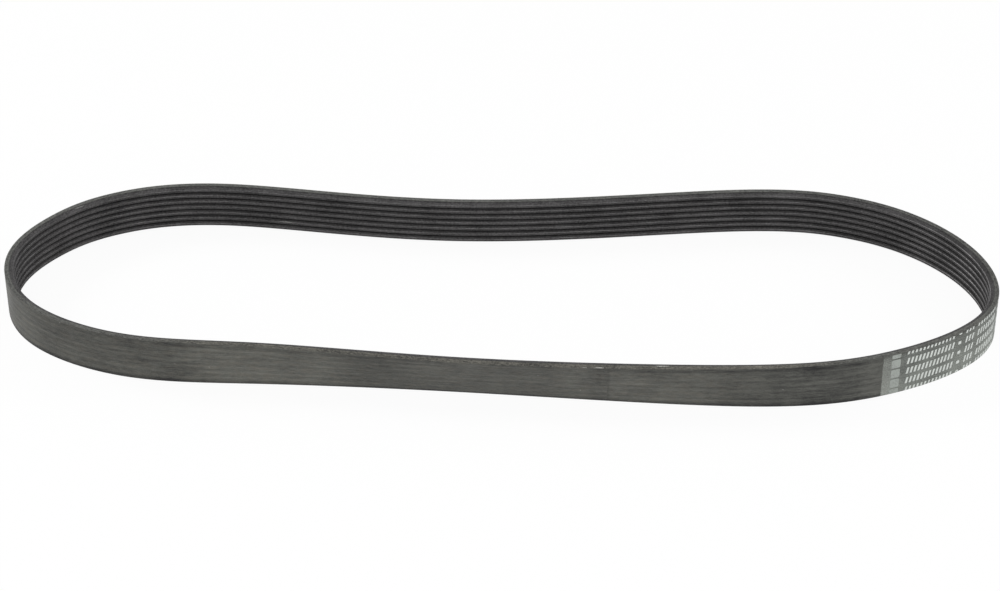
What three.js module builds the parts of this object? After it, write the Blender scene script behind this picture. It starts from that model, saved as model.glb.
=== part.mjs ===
// A ribbed serpentine belt from a car's engine bay, resting on one cut edge as a limp closed loop.
// Millimetres, +Z up. The loop's long way lies along X, and its slack near run is on the -Y side.
import * as THREE from "three";

// Driving dimensions of the belt itself
const beltLength = 1100; // round the outside of the smooth back
const ribCount = 7;
const ribPitch = 3.56; // from one groove centre to the next
const ribDepth = 2; // from rib tip to groove floor
const tipWidth = 1.25; // flat top of one rib, before its corners are rounded
const grooveWidth = 0.85; // floor of one groove, which leaves the two flanks 40 degrees apart
const backThickness = 2.4; // cord layer and back, from groove floor to smooth back
const tipRound = 0.35; // how far each rounded corner reaches from its sharp point
const grooveRound = 0.2;
const edgeRound = 0.25;
const mostOfSide = 0.45; // the share of a side that one rounded corner may take up at most

// Driving dimensions of the pose
const leanAngle = 15; // degrees that the slack run's upper edge leans outward, at most
const leaningBend = 12; // the bend in the list below where that lean is greatest

// Bends of the loop as it rests, seen from above and going anticlockwise from the right end.
// The curve runs smoothly past these points, and is then scaled to the belt's length.
const bends = [
  [242, 1], [211, 34], [176, 50], [129, 58], [-24, 38], [-144, 65], [-199, 52], [-224, 35],
  [-248, 5], [-238, -38], [-182, -66], [-122, -66], [-19, -72], [124, -87], [185, -79], [247, -46],
];

// Fineness of the mesh
const stepsPerBend = 5;
const stepsPerCorner = 1;
const lengthSamples = 1600;

const rubberColour = 0x5b5b54;
const rubberRoughness = 0.85;

// Weights of four neighbouring bends on a uniform cubic spline, at share t of the way along a span
function splineWeights(t) {
  const back = 1 - t;
  return [
    back ** 3 / 6,
    (3 * t ** 3 - 6 * t ** 2 + 4) / 6,
    (3 * back ** 3 - 6 * back ** 2 + 4) / 6,
    t ** 3 / 6,
  ];
}

// Calls visit with each bend that pulls on the curve at the given share of the loop, and its weight
function eachPull(share, visit) {
  const place = share * bends.length;
  const span = Math.floor(place);
  splineWeights(place - span).forEach((weight, step) => {
    const bend = (span + step - 1 + bends.length) % bends.length;
    visit(bend, weight);
  });
}

// The plan of the back's lower edge, closed on itself
class RestingLoop extends THREE.Curve {
  constructor() {
    super();
    this.arcLengthDivisions = lengthSamples;
    this.scale = 1;
    this.scale = beltLength / this.getLength();
    this.updateArcLengths();
  }

  getPoint(share, target = new THREE.Vector3()) {
    target.set(0, 0, 0);
    eachPull(share, (bend, weight) => {
      const [x, y] = bends[bend];
      target.x += x * weight * this.scale;
      target.y += y * weight * this.scale;
    });
    return target;
  }
}

// Outward lean in radians: one smooth swell that dies away two bends to either side of the middle
function leanAt(share) {
  const greatestWeight = splineWeights(0)[1];
  let pull = 0;
  eachPull(share, (bend, weight) => {
    if (bend === leaningBend) pull = weight / greatestWeight;
  });
  return THREE.MathUtils.degToRad(leanAngle) * pull;
}

// Corners of the section: x runs outward from the ribs to the back, y up across the belt's width.
// The belt is cut through groove floors, so the outermost ribs keep both of their flanks.
function sectionCorners() {
  const width = ribCount * ribPitch;
  const thickness = backThickness + ribDepth;
  const flankRun = (ribPitch - tipWidth - grooveWidth) / 2;
  const corners = [
    { x: 0, y: 0, round: edgeRound },
    { x: 0, y: width, round: edgeRound },
    { x: -backThickness, y: width, round: edgeRound },
  ];
  for (let rib = 0; rib < ribCount; rib++) {
    const upper = width - rib * ribPitch - grooveWidth / 2;
    const lower = width - (rib + 1) * ribPitch + grooveWidth / 2;
    corners.push(
      { x: -backThickness, y: upper, round: grooveRound },
      { x: -thickness, y: upper - flankRun, round: tipRound },
      { x: -thickness, y: lower + flankRun, round: tipRound },
      { x: -backThickness, y: lower, round: grooveRound },
    );
  }
  corners.push({ x: -backThickness, y: 0, round: edgeRound });
  return corners;
}

// A closed outline through the corners, each rounded no further than its two sides allow
function roundedOutline(corners) {
  const outline = new THREE.Shape();
  const point = (corner) => new THREE.Vector2(corner.x, corner.y);
  const towards = (from, to, round) => {
    const side = point(to).sub(point(from));
    const reach = Math.min(round, side.length() * mostOfSide);
    return point(from).add(side.setLength(reach));
  };
  corners.forEach((corner, i) => {
    const before = corners[(i + corners.length - 1) % corners.length];
    const after = corners[(i + 1) % corners.length];
    const start = towards(corner, before, corner.round);
    const end = towards(corner, after, corner.round);
    if (i === 0) outline.moveTo(start.x, start.y);
    else outline.lineTo(start.x, start.y);
    outline.quadraticCurveTo(corner.x, corner.y, end.x, end.y);
  });
  outline.closePath();
  return outline.getPoints(stepsPerCorner).slice(0, -1);
}

// One section of the belt, stood on the loop and leant about its outer lower edge
function sectionAt(loop, share, section) {
  const foot = loop.getPoint(share);
  const along = loop.getTangent(share);
  const outward = new THREE.Vector3(along.y, -along.x, 0);
  const lean = leanAt(share);
  return section.map(({ x, y }) => {
    const out = x * Math.cos(lean) + y * Math.sin(lean);
    const height = y * Math.cos(lean) - x * Math.sin(lean);
    return foot.clone().addScaledVector(outward, out).setZ(height);
  });
}

// Sections joined all the way round, with the last one meeting the first
function beltGeometry() {
  const loop = new RestingLoop();
  const section = roundedOutline(sectionCorners());
  const ringCount = bends.length * stepsPerBend;
  const points = [];
  const faces = [];
  for (let ring = 0; ring < ringCount; ring++) {
    points.push(...sectionAt(loop, ring / ringCount, section));
    const here = ring * section.length;
    const next = ((ring + 1) % ringCount) * section.length;
    for (let i = 0; i < section.length; i++) {
      const j = (i + 1) % section.length;
      faces.push(here + i, next + i, here + j);
      faces.push(next + i, next + j, here + j);
    }
  }
  const geometry = new THREE.BufferGeometry().setFromPoints(points);
  geometry.setIndex(faces);
  return geometry;
}

// Puts the origin under the middle of the loop, at the level that the belt rests on
function centreOnFloor(geometry) {
  geometry.computeBoundingBox();
  const { min, max } = geometry.boundingBox;
  geometry.translate(-(min.x + max.x) / 2, -(min.y + max.y) / 2, -min.z);
  geometry.computeVertexNormals();
  return geometry;
}

const rubber = new THREE.MeshStandardMaterial({
  color: rubberColour,
  roughness: rubberRoughness,
  metalness: 0,
});

const ribbedBelt = new THREE.Mesh(centreOnFloor(beltGeometry()), rubber);
ribbedBelt.name = "ribbed_belt";

const serpentineBelt = new THREE.Group();
serpentineBelt.add(ribbedBelt);

export default serpentineBelt;
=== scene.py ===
import math
import bmesh
import bpy
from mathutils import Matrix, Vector


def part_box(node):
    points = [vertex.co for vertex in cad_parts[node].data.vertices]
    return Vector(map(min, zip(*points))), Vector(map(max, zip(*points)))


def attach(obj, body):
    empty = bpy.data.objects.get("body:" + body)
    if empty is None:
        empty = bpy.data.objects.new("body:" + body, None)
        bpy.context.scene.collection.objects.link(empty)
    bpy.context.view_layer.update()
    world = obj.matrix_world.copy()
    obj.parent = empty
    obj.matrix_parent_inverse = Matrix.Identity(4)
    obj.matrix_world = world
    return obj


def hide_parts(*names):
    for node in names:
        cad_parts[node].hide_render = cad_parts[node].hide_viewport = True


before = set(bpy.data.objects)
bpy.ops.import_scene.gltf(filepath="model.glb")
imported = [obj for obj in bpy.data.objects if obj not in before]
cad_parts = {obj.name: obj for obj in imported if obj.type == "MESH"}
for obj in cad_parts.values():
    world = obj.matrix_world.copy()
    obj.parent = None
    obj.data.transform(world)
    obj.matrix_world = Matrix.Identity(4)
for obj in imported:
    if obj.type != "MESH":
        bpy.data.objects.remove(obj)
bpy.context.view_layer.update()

# The belt is modelled flat, as one straight strip, and then wrapped round the loop that it rests in.
# On the flat strip X runs along the belt, Y from the smooth back to the rib tips, and Z across its
# width. All lengths are in metres.

print("solid belt loaded")

view = {
    "aim": (0.0002, 0.0129, 0.0),  # the point of the floor that the picture is centred on
    "distance": 1.6344,
    "downDegrees": 39.58,
    "lens": 118.1,
    "sensor": 36.0,
    "nearClip": 0.05,
}

loop = {
    "length": 1.1,  # round the smooth back
    "leanDegrees": 15.0,  # the slack run's upper edge leans out by this much at most
    "leaningBend": 12,
    "tiltKept": 2 / 3,  # how much of one bend's tilt the path takes on there
    "pathSteps": 64,  # straight steps from bend to bend, when the strip follows the path
    "seam": 0.8161,  # where the strip's two ends meet, measured along the path
    "bends": [
        (0.242, 0.001), (0.211, 0.034), (0.176, 0.050), (0.129, 0.058),
        (-0.024, 0.038), (-0.144, 0.065), (-0.199, 0.052), (-0.224, 0.035),
        (-0.248, 0.005), (-0.238, -0.038), (-0.182, -0.066), (-0.122, -0.066),
        (-0.019, -0.072), (0.124, -0.087), (0.185, -0.079), (0.247, -0.046),
    ],
}

belt = {
    "ribs": 7,
    "ribPitch": 0.00356,
    "ribDepth": 0.002,
    "tipWidth": 0.00125,
    "grooveWidth": 0.00085,
    "backThickness": 0.0024,
    "tipRound": 0.00035,
    "grooveRound": 0.0002,
    "edgeRound": 0.00022,
    "roundSteps": 3,
    "smoothDegrees": 40,  # sharper creases than this stay sharp
    "backLines": 12,  # strips that the back is divided into, so that it holds the lean
    "slices": 400,  # lengthwise pieces that the strip is built from
    "weld": 0.00001,  # points closer than this become one
}

beltWidth = belt["ribs"] * belt["ribPitch"]
beltThickness = belt["backThickness"] + belt["ribDepth"]


def startAlone():
    if bpy.context.object and bpy.context.object.mode != "OBJECT":
        bpy.ops.object.mode_set(mode="OBJECT")
    bpy.ops.object.select_all(action="DESELECT")


def pick(obj):
    startAlone()
    obj.select_set(True)
    bpy.context.view_layer.objects.active = obj


def applyAll(obj):
    pick(obj)
    for name in [modifier.name for modifier in obj.modifiers]:
        bpy.ops.object.modifier_apply(modifier=name)


def shift(obj, move):  # moves the mesh, and leaves the object where it is
    pick(obj)
    bpy.ops.object.mode_set(mode="EDIT")
    bpy.ops.mesh.select_all(action="SELECT")
    bpy.ops.transform.translate(value=move)
    bpy.ops.object.mode_set(mode="OBJECT")


def near(a, b):
    return abs(a - b) < belt["weld"]


def chooseIn(obj, kind, wanted):
    kinds = ("verts", "edges", "faces")
    bpy.context.tool_settings.mesh_select_mode = [kind == each for each in kinds]
    mesh = bmesh.from_edit_mesh(obj.data)
    for each in kinds:
        for part in getattr(mesh, each):
            part.select = False
    for part in getattr(mesh, kind):
        if wanted(part):
            part.select_set(True)
    bmesh.update_edit_mesh(obj.data)


def cutAcross(place, direction, **clearing):
    bpy.ops.mesh.select_all(action="SELECT")
    bpy.ops.mesh.bisect(plane_co=place, plane_no=direction, **clearing)


def makeLoopPath():
    startAlone()
    bpy.ops.curve.primitive_nurbs_circle_add(radius=0.2, location=(0, 0, 0))
    path = bpy.context.object
    path.name = "restingLoop"
    bpy.ops.object.mode_set(mode="EDIT")
    bpy.ops.curve.select_all(action="SELECT")
    bpy.ops.curve.subdivide(number_cuts=1)  # eight points become sixteen, one for each bend
    bpy.ops.object.mode_set(mode="OBJECT")
    path.data.twist_mode = "Z_UP"
    path.data.resolution_u = loop["pathSteps"]
    path.data.use_path = True
    path.data.use_deform_bounds = False
    spline = path.data.splines[0]
    spline.use_bezier_u = False
    spline.use_endpoint_u = False
    spline.order_u = 4  # smooth past the bends, not through them
    placeBends(spline, 1.0)
    placeBends(spline, loop["length"] / pathLength(path))
    return path


def placeBends(spline, scale):
    fullTilt = math.radians(loop["leanDegrees"]) / loop["tiltKept"]
    for index, (point, (x, y)) in enumerate(zip(spline.points, loop["bends"])):
        point.co = (x * scale, y * scale, 0, 1)
        point.tilt = fullTilt if index == loop["leaningBend"] else 0


def pathLength(path):
    pick(path)
    bpy.ops.object.duplicate()
    bpy.ops.object.convert(target="MESH")
    line = bpy.context.object.data
    length = sum((line.vertices[a].co - line.vertices[b].co).length for a, b in line.edge_keys)
    bpy.ops.object.delete()
    return length


def makeSlice(length):
    startAlone()
    back = belt["backThickness"]
    bpy.ops.mesh.primitive_cube_add(
        size=1, location=(length / 2, back / 2, beltWidth / 2), scale=(length, back, beltWidth))
    strip = bpy.context.object
    bpy.ops.object.transform_apply(location=True, rotation=False, scale=True)
    floors, tips = [], []
    for rib in range(belt["ribs"]):
        start = rib * belt["ribPitch"]
        middle = start + belt["ribPitch"] / 2
        floors += [start + belt["grooveWidth"] / 2, start + belt["ribPitch"] - belt["grooveWidth"] / 2]
        tips += [middle - belt["tipWidth"] / 2, middle + belt["tipWidth"] / 2]
    bpy.ops.object.mode_set(mode="EDIT")
    for height in floors + tips:
        cutAcross((0, 0, height), (0, 0, 1))
    raiseRibs(strip, tips)
    openEnds(strip)
    roundCreases(strip, floors, tips)
    for line in range(1, belt["backLines"]):
        cutAcross((0, 0, beltWidth * line / belt["backLines"]), (0, 0, 1))
    bpy.ops.object.mode_set(mode="OBJECT")
    return strip


def raiseRibs(strip, tips):
    chooseIn(strip, "verts", lambda point: near(point.co.y, belt["backThickness"])
             and any(near(point.co.z, tip) for tip in tips))
    bpy.ops.transform.translate(value=(0, belt["ribDepth"], 0))


def openEnds(strip):  # the two faces that look along the strip go, so that slices join without walls
    chooseIn(strip, "faces", lambda face: abs(face.normal.x) > 0.9)
    bpy.ops.mesh.delete(type="ONLY_FACE")
    bpy.ops.mesh.select_all(action="SELECT")
    bpy.ops.mesh.delete_loose(use_verts=False, use_edges=True, use_faces=False)


def roundCreases(strip, floors, tips):
    sides = (0, beltWidth)
    creases = [
        (beltThickness, tips, belt["tipRound"]),
        (belt["backThickness"], floors, belt["grooveRound"]),
        (0, sides, belt["edgeRound"]),
        (belt["backThickness"], sides, belt["edgeRound"] / 2),
    ]
    for depth, heights, reach in creases:
        chooseIn(strip, "edges", lambda edge: all(near(point.co.y, depth) for point in edge.verts)
                 and near(edge.verts[0].co.z, edge.verts[1].co.z)
                 and any(near(edge.verts[0].co.z, height) for height in heights))
        bpy.ops.mesh.bevel(
            offset_type="OFFSET", offset=reach, segments=belt["roundSteps"], affect="EDGES")


def keepFlatPlaces(obj):  # kept at face corners, so that the two ends stay apart where they meet
    flat = obj.data.attributes.new("flat", "FLOAT_VECTOR", "CORNER")
    for corner, kept in zip(obj.data.loops, flat.data):
        kept.vector = obj.data.vertices[corner.vertex_index].co


def wrapRound(obj, path):
    shift(obj, (loop["seam"], 0, 0))
    wrap = obj.modifiers.new("wrap", "CURVE")
    wrap.object = path
    wrap.deform_axis = "POS_X"
    applyAll(obj)


def makeBelt(path):
    strip = makeSlice(loop["length"] / belt["slices"])
    strip.name = "ribbed_rubber"
    row = strip.modifiers.new("slices", "ARRAY")
    row.count = belt["slices"]
    row.use_merge_vertices = True
    row.merge_threshold = belt["weld"]
    applyAll(strip)
    keepFlatPlaces(strip)
    wrapRound(strip, path)
    bpy.ops.object.mode_set(mode="EDIT")
    bpy.ops.mesh.select_all(action="SELECT")
    bpy.ops.mesh.remove_doubles(threshold=belt["weld"])  # the two ends become one seam
    bpy.ops.mesh.normals_make_consistent(inside=False)
    bpy.ops.object.mode_set(mode="OBJECT")
    bpy.ops.object.shade_smooth_by_angle(angle=math.radians(belt["smoothDegrees"]))
    return strip


def boxOf(obj):
    places = [point.co for point in obj.data.vertices]
    low = Vector([min(place[axis] for place in places) for axis in range(3)])
    high = Vector([max(place[axis] for place in places) for axis in range(3)])
    return low, high


def settlingOf(strip):  # the move from where the path lies to where the solid belt lies
    low, high = boxOf(strip)
    solidLow, solidHigh = (Vector(corner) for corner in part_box("ribbed_belt"))
    settling = (solidLow + solidHigh - low - high) / 2
    settling.z = solidLow.z - low.z
    return settling


path = makeLoopPath()
strip = makeBelt(path)
settling = settlingOf(strip)
shift(strip, settling)
print("belt wrapped,", len(strip.data.polygons), "faces")


printing = {
    "start": 0.1322,  # along the strip, from the seam to the near end of the printed field
    "length": 0.113,
    "plainEnd": 0.0044,  # lighter band before the first marks
    "rowPitch": 0.0061,
    "topRow": 0.0248,  # height of the upper row's middle, which runs half off the belt
    "rows": 5,
    "proud": 0.00003,
    "sunk": 0.00012,
    "edgeGap": 0.0003,
    "roundSteps": 3,
    "tile": {"start": 0.0045, "length": 0.0047, "height": 0.0052, "round": 0.0009, "lines": 4},
    "stroke": {"width": 0.00105, "height": 0.0037, "slant": 0.0007, "pitch": 0.0021},
    "hatches": [(0.0125, 13), (0.0462, 3), (0.0545, 8), (0.0800, 13)],  # start, number of strokes
    "dot": {"size": 0.0019, "round": 0.0005},
    "dotStarts": [0.0417, 0.0750],
}


def addMark(start, length, height):
    startAlone()
    thickness = printing["proud"] + printing["sunk"]
    bpy.ops.mesh.primitive_cube_add(
        size=1, scale=(length, thickness, height),
        location=(printing["start"] + start + length / 2, thickness / 2 - printing["proud"], 0))
    bpy.ops.object.transform_apply(location=True, rotation=False, scale=True)
    bpy.ops.object.mode_set(mode="EDIT")
    return bpy.context.object


def roundCorners(mark, reach):
    chooseIn(mark, "edges",
             lambda edge: abs(edge.verts[0].co.y - edge.verts[1].co.y) > printing["proud"])
    bpy.ops.mesh.bevel(
        offset_type="OFFSET", offset=reach, segments=printing["roundSteps"], affect="EDGES")


def makeTile(tile):
    mark = addMark(tile["start"], tile["length"], tile["height"])
    roundCorners(mark, tile["round"])
    for line in range(1, tile["lines"]):
        across = printing["start"] + tile["start"] + tile["length"] * line / tile["lines"]
        cutAcross((across, 0, 0), (1, 0, 0))
    return mark


def makeStroke(stroke):
    mark = addMark(0, stroke["width"], stroke["height"])
    chooseIn(mark, "verts", lambda point: point.co.z > 0)
    bpy.ops.transform.translate(value=(stroke["slant"], 0, 0))
    return mark


def makeDot(dot):
    mark = addMark(0, dot["size"], dot["size"])
    roundCorners(mark, dot["round"])
    return mark


def copyAlong(mark, start):  # each copy has its own mesh
    pick(mark)
    bpy.ops.object.duplicate()
    twin = bpy.context.object
    shift(twin, (start, 0, 0))
    return twin


def repeat(obj, count, step):
    copies = obj.modifiers.new("copies", "ARRAY")
    copies.count = count
    copies.use_relative_offset = False
    copies.use_constant_offset = True
    copies.constant_offset_displace = step
    applyAll(obj)


def makeMarks():  # the marks of one row
    marks = [makeTile(printing["tile"])]
    stroke = makeStroke(printing["stroke"])
    for start, count in printing["hatches"]:
        hatch = copyAlong(stroke, start)
        repeat(hatch, count, (printing["stroke"]["pitch"], 0, 0))
        marks.append(hatch)
    dot = makeDot(printing["dot"])
    marks += [copyAlong(dot, start) for start in printing["dotStarts"]]
    for model in (stroke, dot):
        bpy.data.objects.remove(model)
    return marks


def makePrint(path, settling):
    marks = makeMarks()
    pick(marks[0])
    for mark in marks:
        mark.select_set(True)
    bpy.ops.object.join()
    field = bpy.context.object
    field.name = "print_marks"
    shift(field, (0, 0, printing["topRow"]))
    repeat(field, printing["rows"], (0, 0, -printing["rowPitch"]))
    bpy.ops.object.mode_set(mode="EDIT")
    for height, up in ((beltWidth - printing["edgeGap"], 1), (printing["edgeGap"], -1)):
        # The outer rows run off the belt
        cutAcross((0, 0, height), (0, 0, up), clear_outer=True, use_fill=True)
    bpy.ops.object.mode_set(mode="OBJECT")
    keepFlatPlaces(field)
    wrapRound(field, path)
    shift(field, settling)
    return field


marks = makePrint(path, settling)
bpy.data.objects.remove(path)
print("print marks made,", len(marks.data.polygons), "faces")


class Wire:  # one output of a shader node, which takes part in sums as a number does

    def __init__(self, shader, socket):
        self.shader = shader
        self.socket = socket

    def other(self, name):  # another output of the same node
        return Wire(self.shader, self.socket.node.outputs[name])

    def sum(self, operation, first, second):
        return self.shader.add("ShaderNodeMath", {"operation": operation}, {0: first, 1: second})

    def __add__(self, other):
        return self.sum("ADD", self, other)

    def __radd__(self, other):
        return self.sum("ADD", other, self)

    def __sub__(self, other):
        return self.sum("SUBTRACT", self, other)

    def __rsub__(self, other):
        return self.sum("SUBTRACT", other, self)

    def __mul__(self, other):
        return self.sum("MULTIPLY", self, other)

    def __rmul__(self, other):
        return self.sum("MULTIPLY", other, self)

    def __truediv__(self, other):
        return self.sum("DIVIDE", self, other)

    def __gt__(self, other):
        return self.sum("GREATER_THAN", self, other)

    def __lt__(self, other):
        return self.sum("LESS_THAN", self, other)


class Shader:  # the node tree of one material or of the world

    def __init__(self, owner):
        owner.use_nodes = True
        self.tree = owner.node_tree
        self.tree.nodes.clear()

    def add(self, kind, settings=None, values=None, output=0):
        node = self.tree.nodes.new(kind)
        for name, value in (settings or {}).items():
            setattr(node, name, value)
        for name, value in (values or {}).items():
            if isinstance(value, Wire):
                self.tree.links.new(value.socket, node.inputs[name])
            else:
                node.inputs[name].default_value = value
        return Wire(self, node.outputs[output]) if node.outputs else None

    def flatPlaces(self):
        return self.add("ShaderNodeAttribute", {"attribute_name": "flat"}, output="Vector")

    def noise(self, place, perMetre, detail, roughness):
        stretched = self.add("ShaderNodeVectorMath", {"operation": "MULTIPLY"}, {0: place, 1: perMetre})
        return self.add("ShaderNodeTexNoise", {}, {
            "Vector": stretched, "Scale": 1.0, "Detail": detail, "Roughness": roughness})

    def slide(self, value, low, high, start=0.0, end=1.0):  # from start to end, as value goes low to high
        return self.add("ShaderNodeMapRange", {"interpolation_type": "SMOOTHSTEP"}, {
            "Value": value, "From Min": low, "From Max": high, "To Min": start, "To Max": end})

    def window(self, value, low, high, soft):  # 1 between low and high, and 0 outside
        rising = self.slide(value, low - soft, low + soft)
        return rising * self.slide(value, high - soft, high + soft, 1.0, 0.0)

    def blend(self, share, first, second):
        return self.add("ShaderNodeMix", {"data_type": "RGBA"}, {
            0: share, 6: first, 7: second}, output=2)

    def tone(self, colour, strength):  # a colour made lighter or darker
        grey = self.add("ShaderNodeCombineXYZ", {}, {0: strength, 1: strength, 2: strength})
        return self.add("ShaderNodeVectorMath", {"operation": "MULTIPLY"}, {0: colour, 1: grey})

    def surface(self, colour, roughness, height, bumpDistance, gloss):
        normal = self.add("ShaderNodeBump", {}, {
            "Strength": 1.0, "Distance": bumpDistance, "Height": height})
        shaded = self.add("ShaderNodeBsdfPrincipled", {}, {
            "Base Color": colour, "Roughness": roughness, "Normal": normal, "Specular IOR Level": gloss})
        self.add("ShaderNodeOutputMaterial", {}, {"Surface": shaded})


# Places on the rubber are measured along the strip from its seam, in depth from the back and in height
# from the lower edge. A zone is a start, an end and a softness along the strip. A fade is two values
# between which a strength goes from its third number to its fourth, or from 0 to 1.

rubber = {
    "backEnds": (0.00012, 0.00022, 1.0, 0.0),  # fade by depth, from the back to the cut side
    "ribsBegin": (0.00226, 0.00238),  # fade by depth, from the cut side to the ribs
    "gloss": 0.40,
    "bumpDistance": 0.00022,
    "noises": {  # features per metre along, through and across the belt, then detail and roughness
        "grain": ((1900, 2200, 1900), 2.0, 0.6),
        "cords": ((95, 300, 900), 2.0, 0.55),
        "longCords": ((26, 200, 640), 1.0, 0.5),
        "threads": ((320, 900, 1500), 2.0, 0.6),
        "patches": ((66, 66, 85), 2.0, 0.55),
        "widePatches": ((22, 22, 9), 1.0, 0.5),
        "bands": ((70, 70, 230), 1.0, 0.5),
        "warmth": ((150, 150, 420), 2.0, 0.6),
        "fibres": ((780, 1300, 780), 2.0, 0.7),
        "scratches": ((70, 2400, 2400), 2.0, 0.6),
        "flecks": ((900, 1400, 1400), 2.0, 0.6),
    },
}

# pale spots: scuff marks on the back and the cut sides, painted glints on the ribs
scuffMarksAndGlints = {
    "colour": (0.50, 0.50, 0.47, 1),
    "raggedness": 2.5,
    "fade": (0.3, 1.4),  # squared distance from a spot's middle, where its edge is about 1
}


class Skin:  # where a point of the rubber lies on the flat strip, and the noises there

    def __init__(self, shader):
        self.shader = shader
        self.flat = shader.flatPlaces()
        split = shader.add("ShaderNodeSeparateXYZ", {}, {0: self.flat})
        self.along, self.depth, self.height = split.other("X"), split.other("Y"), split.other("Z")
        self.fromTop = beltWidth - self.height
        self.noises = {
            name: shader.noise(self.flat, *kind) - 0.5 for name, kind in rubber["noises"].items()}

    def mix(self, weights):  # some of the noises added up, each as strong as its weight
        return sum(self.noises[name] * weight for name, weight in weights.items())

    def zone(self, start, end, soft):
        return self.shader.window(self.along, start, end, soft)

    def scuffedAndGlinting(self, colour, across, spots):  # the colour with pale spots on it: scuff marks, and on the ribs painted glints
        for place, level, halfLength, halfWidth, paleness in spots:
            ragged = self.noises["grain"] * scuffMarksAndGlints["raggedness"]
            lengthwise = (self.along - place) / halfLength + ragged
            crosswise = (across - level) / halfWidth + ragged
            pale = self.shader.slide(
                lengthwise * lengthwise + crosswise * crosswise, *scuffMarksAndGlints["fade"], paleness, 0.0)
            colour = self.shader.blend(pale, colour, scuffMarksAndGlints["colour"])
        return colour


smoothBack = {
    "colour": (0.0680, 0.0688, 0.0605, 1),
    "warmColour": (0.0712, 0.0688, 0.0585, 1),
    "warmFade": (-0.10, 0.14),
    "coolZone": (0.07, 0.27, 0.02),  # where the back has no warm streaks
    "tone": 1.03,
    "streaks": {"patches": 1.15, "widePatches": 0.6, "cords": 1.4, "longCords": 0.7,
                "threads": 1.4, "grain": 1.6},
    "bandFade": (-0.16, 0.12, 0.02, 0.22),  # paler bands where the grooves lie behind
    "bandTurnZone": (0.99, 1.076, 0.012),  # where they lie over the ribs, not between them
    "bandTurn": 1.7,
    "panelsPerMetre": 42,  # stretches that differ a little in tone, end to end
    "panelRaggedness": 0.10,
    "panelStrength": 0.11,
    "zones": [  # start, end, how much lighter
        (-0.03, 0.048, 0.30), (0.053, 0.102, -0.25), (0.102, 0.128, -0.11), (0.784, 0.810, 0.09),
        (0.824, 0.857, -0.21), (0.862, 0.898, -0.08), (0.903, 0.972, 0.46), (0.984, 1.032, -0.13),
        (1.0863, 1.130, 0.14),
    ],
    "zoneSoftness": 0.009,
    "zoneRaggedness": 0.03,
    "upperEdgeFade": (0.0005, 0.0018, 0.16, 0.0),  # darker along the upper edge, by distance from it
    "darkTopZones": [(-0.02, 0.052, 0.34), (0.052, 0.125, 0.24), (0.885, 0.975, 0.22)],  # and below it
    "darkTopSoftness": 0.01,
    "darkTopFade": (0.0006, 0.0052),
    # painted shade along the lower edge, next to the floor
    "lowerEdgeShadeFade": (0.0006, 0.0025, 0.80, 0.0),
    "upperHalfFade": (0.013, 0.024, 0.0, 0.12),
    "seamFade": (0.0003, 0.0019, 0.30, 0.0),
    "seamRaggedness": 0.0008,
    "specks": {"perMetre": 240, "share": 0.10, "fade": (0.049, 0.091, 0.30, 0.0)},
    "spots": [(1.0873, 0.0075, 0.0003, 0.0003, 0.5)],  # place, height, half length and height, paleness
    "roughness": 0.55,
    "roughStreaks": {"cords": 0.4, "grain": 0.3},
    "ridges": {"cords": 0.9, "threads": 0.7},
}


def colourBack(shader, skin):  # patchy and streaked, faintly banded where the ribs lie behind it, and with painted shade along its lower edge
    tone = backTone(shader, skin) * (1.0 - seamLine(shader, skin))
    warm = shader.slide(skin.noises["warmth"], *smoothBack["warmFade"])
    warm = warm * (1.0 - skin.zone(*smoothBack["coolZone"]))
    colour = shader.tone(shader.blend(warm, smoothBack["colour"], smoothBack["warmColour"]), tone)
    colour = shader.blend(specksOn(shader, skin), colour, scuffMarksAndGlints["colour"])
    return skin.scuffedAndGlinting(colour, skin.height, smoothBack["spots"])


def backTone(shader, skin):
    tone = smoothBack["tone"] + skin.mix(smoothBack["streaks"])
    tone = tone + bandsOn(shader, skin) + panelsOn(shader, skin)
    drifting = skin.along + skin.noises["patches"] * smoothBack["zoneRaggedness"]
    for start, end, lighter in smoothBack["zones"]:
        tone = tone + shader.window(drifting, start, end, smoothBack["zoneSoftness"]) * lighter
    for start, end, darker in smoothBack["darkTopZones"]:
        below = shader.slide(skin.fromTop, *smoothBack["darkTopFade"], darker, 0.0)
        tone = tone - skin.zone(start, end, smoothBack["darkTopSoftness"]) * below
    tone = tone - shader.slide(skin.fromTop, *smoothBack["upperEdgeFade"])
    # painted shade along the lower edge
    tone = tone - shader.slide(skin.height, *smoothBack["lowerEdgeShadeFade"])
    return tone - shader.slide(skin.height, *smoothBack["upperHalfFade"])


def bandsOn(shader, skin):
    turns = skin.height * (2 * math.pi / belt["ribPitch"])
    overGrooves = shader.add("ShaderNodeMath", {"operation": "COSINE"}, {0: turns})
    strength = shader.slide(skin.noises["bands"], *smoothBack["bandFade"])
    turned = skin.zone(*smoothBack["bandTurnZone"]) * smoothBack["bandTurn"]
    return overGrooves * (strength * (1.0 - turned))


def panelsOn(shader, skin):
    ragged = skin.noises["grain"] * smoothBack["panelRaggedness"]
    panels = shader.add("ShaderNodeTexVoronoi", {"voronoi_dimensions": "1D"}, {
        "W": skin.along * smoothBack["panelsPerMetre"] + ragged, "Scale": 1.0}, output="Color")
    chance = shader.add("ShaderNodeSeparateXYZ", {}, {0: panels}).other("X")
    return (chance - 0.5) * smoothBack["panelStrength"]


def seamLine(shader, skin):
    ragged = skin.noises["grain"] * smoothBack["seamRaggedness"]
    return shader.slide(skin.along + ragged, *smoothBack["seamFade"])


def specksOn(shader, skin):
    specks = smoothBack["specks"]
    cells = shader.add("ShaderNodeVectorMath", {"operation": "SCALE"}, {
        0: skin.flat, "Scale": specks["perMetre"]})
    dots = shader.add("ShaderNodeTexVoronoi", {}, {"Vector": cells, "Scale": 1.0}, output="Distance")
    chance = shader.add("ShaderNodeSeparateXYZ", {}, {0: dots.other("Color")})
    return shader.slide(dots, *specks["fade"]) * (chance < specks["share"])


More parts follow.
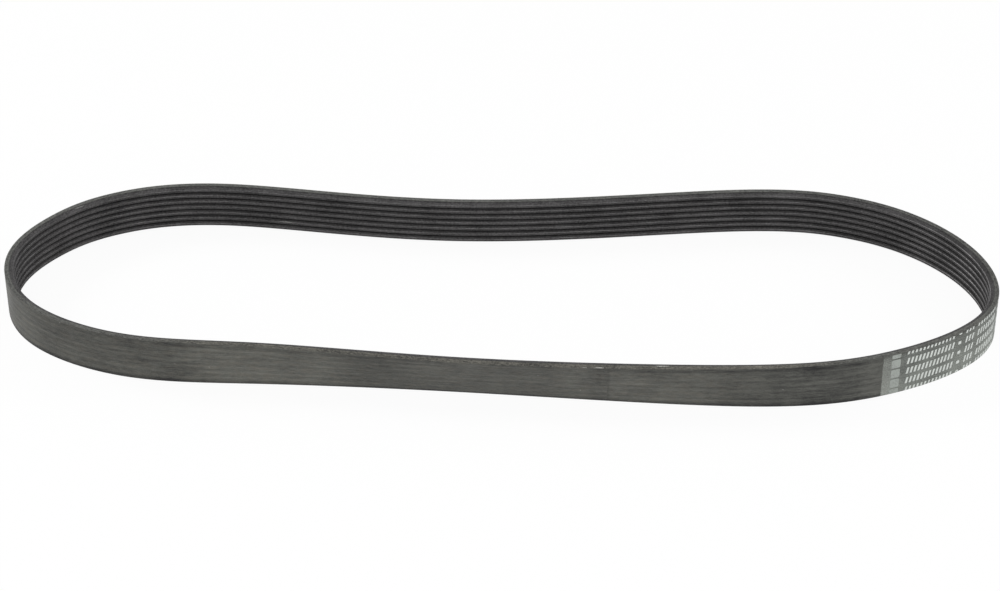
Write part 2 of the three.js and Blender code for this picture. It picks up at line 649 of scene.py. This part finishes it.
printedFilm = {
    "colour": (0.150, 0.160, 0.145, 1),
    "endColour": (0.196, 0.207, 0.188, 1),
    "raggedness": 0.0014,
    "startFade": (-0.0002, 0.0005),  # from where the printed field starts
    "endFade": 0.0014,
    "topFade": (0.0002, 0.0024, 0.15, 1.0),  # worn off along the belt's upper edge
    "topRaggedness": 0.002,
    "toneFade": (0.002, beltWidth, 1.22, 0.78),
    "streaks": {"patches": 1.2, "cords": 0.8, "grain": 3.0},
}


def addFilm(shader, skin, backColour):  # a worn, lighter film, plainer and paler at its near end
    grain = skin.noises["grain"]
    ragged = skin.along + grain * printedFilm["raggedness"]
    start = printing["start"]
    inField = shader.slide(ragged, *(start + step for step in printedFilm["startFade"]))
    inField = inField * (ragged < start + printing["length"])
    inField = inField * shader.slide(
        skin.fromTop + grain * printedFilm["topRaggedness"], *printedFilm["topFade"])
    plainEnd = start + printing["plainEnd"]
    atEnd = shader.slide(ragged, plainEnd, plainEnd + printedFilm["endFade"], 1.0, 0.0)
    colour = shader.blend(atEnd, printedFilm["colour"], printedFilm["endColour"])
    tone = shader.slide(skin.height, *printedFilm["toneFade"]) + skin.mix(printedFilm["streaks"])
    return shader.blend(inField, backColour, shader.tone(colour, tone))


cutSides = {
    "colour": (0.085, 0.0815, 0.069, 1),
    # a darker, greyer colour over most of the loop, away from the middle of the near run; the darkening
    # is painted shade
    "farShadedColour": (0.0685, 0.0695, 0.0635, 1),
    "farZone": (0.105, 0.89, 0.03),
    "tone": 0.90,
    "streaks": {"fibres": 3.2, "grain": 1.6, "cords": 1.0, "widePatches": 0.5},
    "zones": [  # start, end, how much lighter
        (0.115, 0.18, 0.08), (0.20, 0.36, -0.18), (0.655, 0.74, 0.16), (0.700, 0.712, -0.22),
        (0.77, 0.87, -0.12), (0.96, 1.08, -0.22),
    ],
    "zoneSoftness": 0.02,
    "cordDepth": 0.0017,  # the cords show as a paler line at this depth
    "cordFade": (0.0, 0.00024, 0.6, 0.0),
    "cordRaggedness": 0.0003,
    "cordPatchFade": (-0.10, 0.06, 0.35, 1.0),
    "ribEdgeShadeFade": (0.0019, 0.0023, 1.0, 0.66),  # painted shade where the cut side meets the ribs
    "spots": [  # place, depth, half length and depth, paleness
        (1.0891, 0.0004, 0.0013, 0.0003, 0.30),
        (1.0960, 0.0004, 0.0021, 0.0004, 0.60),
        (0.0259, 0.0021, 0.0031, 0.00026, 0.75),
    ],
    "ridges": {"fibres": 1.0},
}


def colourSides(shader, skin):  # grainy, with the cords as a paler line and a few pale scuff marks; painted shade along the edge next to the ribs, and over most of the loop away from the near run
    tone = cutSides["tone"] + skin.mix(cutSides["streaks"])
    for start, end, lighter in cutSides["zones"]:
        tone = tone + skin.zone(start, end, cutSides["zoneSoftness"]) * lighter
    tone = tone + cordLine(shader, skin)
    # painted shade where the cut side meets the ribs
    tone = tone * shader.slide(skin.depth, *cutSides["ribEdgeShadeFade"])
    # painted shade over most of the loop, away from the middle of the near run
    far = skin.zone(*cutSides["farZone"])
    colour = shader.tone(shader.blend(far, cutSides["colour"], cutSides["farShadedColour"]), tone)
    return skin.scuffedAndGlinting(colour, skin.depth, cutSides["spots"])


def cordLine(shader, skin):
    ragged = skin.depth + skin.noises["fibres"] * cutSides["cordRaggedness"]
    gap = shader.add("ShaderNodeMath", {"operation": "ABSOLUTE"}, {0: ragged - cutSides["cordDepth"]})
    showing = shader.slide(skin.noises["patches"], *cutSides["cordPatchFade"])
    return shader.slide(gap, *cutSides["cordFade"]) * showing


groundRibs = {
    "colour": (0.050, 0.048, 0.0485),
    "tone": 0.94,
    "buriedFade": (belt["backThickness"], beltThickness - 0.0005, 1.0, 0.0),  # painted shade deep in the grooves, fading by depth from floor to tip
    "buriedShade": 0.68,
    "topFlankFade": (0.0234, 0.0239),  # height of the uppermost flank, which has no rib above it; there most of the painted groove shade is taken off again, as painted light
    "topFlankPaintedLight": 0.58,
    # painted light on the uppermost flank in the left bend
    "leftBendFlankZone": (0.66, 0.81, 0.03),
    "leftBendFlankPaintedLight": 0.24,
    "corner": (beltThickness - 0.00036, beltThickness - 0.00008, 0.0001),  # depths, and softness, of the band along the rib corners, which gets a painted highlight and lower roughness
    "cornerPaintedHighlight": 0.08,
    "paintedBendZone": (0.205, 0.285, 0.03),  # in the right bend, where the ribs get painted shade and their corners a strong painted highlight
    "paintedBendShade": 0.36,
    "paintedBendHighlight": 2.1,
    "streaks": {"scratches": 1.2, "flecks": 3.0, "patches": 1.4},
    "spots": [  # painted glints on the ribs: place, height, half length and height, paleness
        (0.6088, 0.0060, 0.0032, 0.00016, 0.40),
        (0.7168, 0.02442, 0.0028, 0.00015, 0.30),
    ],
    "roughness": 0.85,
    "rubbedRoughness": 0.28,  # along the rib corners, worn smoother than the flats
    "ridges": {"scratches": 0.5, "flecks": 0.5},
}


def colourRibs(shader, skin, corner):  # ground, so darker, with fine scratches; painted shade deep in the grooves, painted light on the uppermost flank, painted highlights along the corners, darker ribs with brighter corners in the right bend as painted shade and highlight, and a few painted glints
    buried = shader.slide(skin.depth, *groundRibs["buriedFade"])
    topFlank = shader.slide(skin.height, *groundRibs["topFlankFade"])
    inShadedBend = skin.zone(*groundRibs["paintedBendZone"])
    # painted light on the uppermost flank in the left bend
    leftFlankLight = skin.zone(*groundRibs["leftBendFlankZone"]) * groundRibs["leftBendFlankPaintedLight"]
    # painted shade deep in the grooves
    tone = groundRibs["tone"] - buried * groundRibs["buriedShade"]
    # painted shade over the ribs in the right bend
    tone = tone * (1.0 - inShadedBend * groundRibs["paintedBendShade"])
    # painted light on the uppermost flank, where no rib above would shade it
    tone = tone + buried * topFlank * (groundRibs["topFlankPaintedLight"] + leftFlankLight)
    # painted highlight along the rib corners, strongest in the right bend
    tone = tone + corner * (groundRibs["cornerPaintedHighlight"] + inShadedBend * groundRibs["paintedBendHighlight"])
    tone = tone * (1.0 + skin.mix(groundRibs["streaks"]))
    return skin.scuffedAndGlinting(shader.tone(groundRibs["colour"], tone), skin.height, groundRibs["spots"])


def makeRubber():
    material = bpy.data.materials.new("belt rubber")
    shader = Shader(material)
    skin = Skin(shader)
    onBack = shader.slide(skin.depth, *rubber["backEnds"])
    onRibs = shader.slide(skin.depth, *rubber["ribsBegin"])
    corner = shader.window(skin.depth, *groundRibs["corner"])
    backColour = addFilm(shader, skin, colourBack(shader, skin))
    colour = shader.blend(onBack, colourSides(shader, skin), backColour)
    colour = shader.blend(onRibs, colour, colourRibs(shader, skin, corner))
    rougher = groundRibs["roughness"] - smoothBack["roughness"]
    smoother = groundRibs["roughness"] - groundRibs["rubbedRoughness"]
    roughness = smoothBack["roughness"] + skin.mix(smoothBack["roughStreaks"])
    roughness = roughness + onRibs * rougher - onRibs * corner * smoother
    ridges = skin.mix(smoothBack["ridges"]) * onBack
    ridges = ridges + skin.mix(cutSides["ridges"]) * (1.0 - onBack) * (1.0 - onRibs)
    ridges = ridges + skin.mix(groundRibs["ridges"]) * onRibs
    shader.surface(colour, roughness, ridges, rubber["bumpDistance"], rubber["gloss"])
    return material


ink = {
    "colour": (0.64, 0.67, 0.64, 1),
    "tileColour": (0.35, 0.375, 0.35, 1),  # the tiles are printed thinner than the strokes
    "bareColour": (0.17, 0.18, 0.165, 1),  # where the ink has worn off
    "speckle": ((1500, 1500, 1700), 2.0, 0.65),
    "wornPatches": ((160, 160, 260), 1.0, 0.5),
    "patchStrength": 0.4,
    "pastTile": 0.0005,
    "strokeCover": 0.12,
    "farEndCover": (0.04, -0.10),  # from the first strokes to the far end
    "wornFade": (0.54, 0.78, 0.75, 0.0),
    "roughness": 0.55,
    "roughSpeckle": 0.3,
    "bumpDistance": 0.00003,
    "gloss": 0.42,
}


def makeInk():
    material = bpy.data.materials.new("printed ink")
    shader = Shader(material)
    flat = shader.flatPlaces()
    along = shader.add("ShaderNodeSeparateXYZ", {}, {0: flat}).other("X")
    speckle = shader.noise(flat, *ink["speckle"])
    wornPatches = shader.noise(flat, *ink["wornPatches"])
    tile = printing["tile"]
    tileEnd = printing["start"] + tile["start"] + tile["length"] + ink["pastTile"]
    fieldEnd = printing["start"] + printing["length"]
    cover = speckle + wornPatches * ink["patchStrength"] + (along > tileEnd) * ink["strokeCover"]
    cover = cover + shader.slide(along, tileEnd, fieldEnd, *ink["farEndCover"])
    fresh = shader.blend(along < tileEnd, ink["colour"], ink["tileColour"])
    colour = shader.blend(shader.slide(cover, *ink["wornFade"]), fresh, ink["bareColour"])
    roughness = ink["roughness"] + (speckle - 0.5) * ink["roughSpeckle"]
    shader.surface(colour, roughness, speckle, ink["bumpDistance"], ink["gloss"])
    return material


for piece, material in ((strip, makeRubber()), (marks, makeInk())):
    piece.data.materials.clear()
    piece.data.materials.append(material)
    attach(piece, "root")
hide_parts("ribbed_belt")
print("rubber and ink made")


studio = {
    "floorSize": 12.0,
    "floorColour": (0.9, 0.9, 0.9, 1),
    "whiteShare": 0.92,  # how much of the floor the camera sees as plain white, over its shadows
    "worldLight": 0.45,
    "lamps": [  # place, size, watts
        ((-1.50, 0.60, 1.05), 0.6, 13),
        ((1.50, 0.50, 0.80), 0.9, 9),
        ((0.10, -1.30, 1.60), 1.2, 19),
    ],
}


def seenDirectly(shader):  # 1 for the camera, and for what it sees in a gloss or through glass
    rays = shader.add("ShaderNodeLightPath")
    seen = rays.other("Is Camera Ray") + rays.other("Is Glossy Ray") + rays.other("Is Transmission Ray")
    return shader.add("ShaderNodeClamp", {}, {"Value": seen})


def makeFloor():
    startAlone()
    bpy.ops.mesh.primitive_plane_add(size=studio["floorSize"], location=(0, 0, 0))
    floor = bpy.context.object
    floor.name = "pale_floor"
    material = bpy.data.materials.new("pale floor")
    shader = Shader(material)
    matt = shader.add("ShaderNodeBsdfDiffuse", {}, {"Color": studio["floorColour"]})
    white = shader.add("ShaderNodeEmission", {}, {"Color": (1, 1, 1, 1), "Strength": 1.0})
    share = seenDirectly(shader) * studio["whiteShare"]
    mixed = shader.add("ShaderNodeMixShader", {}, {0: share, 1: matt, 2: white})
    shader.add("ShaderNodeOutputMaterial", {}, {"Surface": mixed})
    floor.data.materials.append(material)


def makeWorld():
    world = bpy.data.worlds.new("studio")
    shader = Shader(world)
    soft, white = (shader.add("ShaderNodeBackground", {}, {"Color": (1, 1, 1, 1), "Strength": strength})
                   for strength in (studio["worldLight"], 1.0))
    mixed = shader.add("ShaderNodeMixShader", {}, {0: seenDirectly(shader), 1: soft, 2: white})
    shader.add("ShaderNodeOutputWorld", {}, {"Surface": mixed})
    bpy.context.scene.world = world


def addLamp(place, size, watts):
    bpy.ops.object.light_add(type="AREA", location=place)
    lamp = bpy.context.object
    lamp.data.shape = "DISK"
    lamp.data.size = size
    lamp.data.energy = watts
    lamp.rotation_euler = (-Vector(place)).to_track_quat("-Z", "Y").to_euler()


def addCamera():
    down = math.radians(view["downDegrees"])
    place = Vector(view["aim"]) + view["distance"] * Vector((0, -math.cos(down), math.sin(down)))
    bpy.ops.object.camera_add(location=place, rotation=(math.pi / 2 - down, 0, 0))
    camera = bpy.context.object
    camera.data.lens = view["lens"]
    camera.data.sensor_width = view["sensor"]
    camera.data.clip_start = view["nearClip"]
    bpy.context.scene.camera = camera


makeFloor()
makeWorld()
for place, size, watts in studio["lamps"]:
    addLamp(place, size, watts)
addCamera()
bpy.context.scene.view_settings.view_transform = "Standard"
print("studio made")
